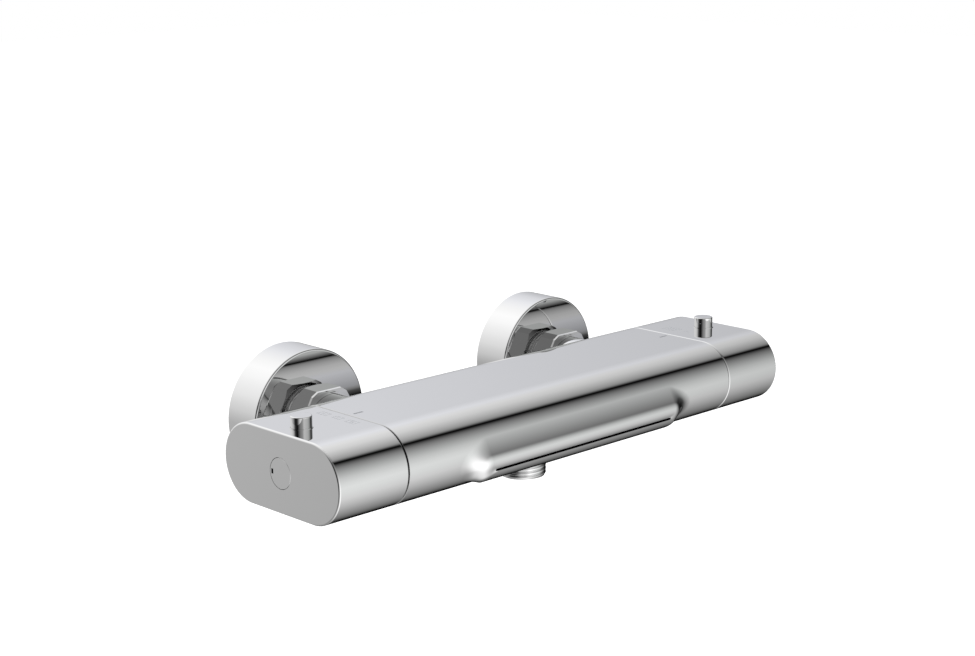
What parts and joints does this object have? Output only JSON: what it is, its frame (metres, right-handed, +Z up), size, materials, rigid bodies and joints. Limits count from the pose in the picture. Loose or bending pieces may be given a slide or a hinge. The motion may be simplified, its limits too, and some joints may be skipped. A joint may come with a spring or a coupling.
{
  "type": "bath mixer tap",
  "caption": "Wall-mounted thermostatic bath and shower mixer with an end handle each side, push buttons, a slotted spout lip, a hose thread and round wall covers.",
  "frame": {"origin": "on the finished wall, midway between the two inlet axes", "axes": "+X along the casting from the flow handle to the temperature handle, +Y into the wall, +Z up"},
  "size_m": [0.2726, 0.1296, 0.0606],
  "materials": {
    "chrome": "mirror-bright chrome plate",
    "brass": "turned brass",
    "copper": "drawn copper",
    "steel": "drawn stainless steel",
    "ceramic": "lapped ceramic",
    "rubber": "matt rubber",
    "black_plastic": "moulded black plastic",
    "white_plastic": "moulded white plastic",
    "ink": "grey filled marking"
  },
  "bodies": {
    "tap": {"body": "chrome", "spout_insert": "black_plastic", "index_marks": "ink", "gallery_plugs": "brass", "hose_nipple": "chrome", "hose_ring": "rubber", "tailpieces": "brass", "union_nuts": "chrome", "union_washers": "rubber", "inlet_filters": "steel", "wall_unions": "chrome", "wall_cups": "chrome", "cup_grip_rings": "rubber", "cup_seals": "rubber", "valve_bodies": "white_plastic", "flow_base_seal": "rubber", "flow_housing": "brass", "flow_fixed_disc": "ceramic", "flow_bonnet": "white_plastic", "flow_shaft_ring": "rubber", "flow_nut": "brass", "flow_stop": "black_plastic", "thermo_housing": "white_plastic", "thermo_rings": "rubber", "thermo_filters": "steel", "thermo_nut": "brass", "temp_stop": "black_plastic"},
    "flow_handle": {"flow_handle": "chrome", "flow_cover": "chrome", "flow_screw": "steel", "flow_spindle": "brass", "flow_turning_disc": "ceramic", "flow_signs": "ink", "flow_bush": "chrome"},
    "flow_button": {"flow_button": "chrome", "flow_button_spring": "steel"},
    "temp_handle": {"temp_handle": "chrome", "temp_cover": "chrome", "temp_screw": "steel", "temp_spindle": "brass", "temp_signs": "ink", "temp_bush": "chrome"},
    "temp_button": {"temp_button": "chrome", "temp_button_spring": "steel"},
    "thermostat_drive": {"drive_nut": "brass", "wax_element": "copper", "mixing_spool": "white_plastic", "thermo_spring": "steel"},
    "hot_poppet": {"hot_poppet": "black_plastic", "hot_spring": "steel"},
    "cold_poppet": {"cold_poppet": "black_plastic", "cold_spring": "steel"},
    "hose_poppet": {"hose_poppet": "black_plastic", "hose_spring": "steel"}
  },
  "joints": [
    {"name": "flow_turn", "type": "hinge", "parent": "tap", "child": "flow_handle", "pos_m": [-0.118, -0.0756, 0], "axis": [1, 0, 0], "range_deg": [-45, 45]},
    {"name": "flow_press", "type": "slide", "parent": "flow_handle", "child": "flow_button", "axis": [0, 0, -1], "range_m": [0, 0.0024], "stiffness_N_per_m": 700, "springref_m": -0.0012, "deforming": ["flow_button_spring"]},
    {"name": "temp_turn", "type": "hinge", "parent": "tap", "child": "temp_handle", "pos_m": [0.118, -0.0756, 0], "axis": [1, 0, 0], "range_deg": [-100, 50]},
    {"name": "temp_press", "type": "slide", "parent": "temp_handle", "child": "temp_button", "axis": [0, 0, -1], "range_m": [0, 0.0024], "stiffness_N_per_m": 700, "springref_m": -0.0012, "deforming": ["temp_button_spring"]},
    {"name": "drive_slide", "type": "slide", "parent": "tap", "child": "thermostat_drive", "axis": [1, 0, 0], "range_m": [-0.0007, 0.0005], "deforming": ["thermo_spring"]},
    {"name": "hot_valve", "type": "slide", "parent": "tap", "child": "hot_poppet", "axis": [0, -1, 0], "range_m": [0, 0.0025], "stiffness_N_per_m": 150, "springref_m": -0.002, "deforming": ["hot_spring"]},
    {"name": "cold_valve", "type": "slide", "parent": "tap", "child": "cold_poppet", "axis": [0, -1, 0], "range_m": [0, 0.0025], "stiffness_N_per_m": 150, "springref_m": -0.002, "deforming": ["cold_spring"]},
    {"name": "hose_valve", "type": "slide", "parent": "tap", "child": "hose_poppet", "axis": [0, 0, -1], "range_m": [0, 0.0025], "stiffness_N_per_m": 150, "springref_m": -0.002, "deforming": ["hose_spring"]}
  ],
  "couplings": [
    {"joint": "drive_slide", "follows": "temp_turn", "m_per_rad": 0.00031831}
  ]
}
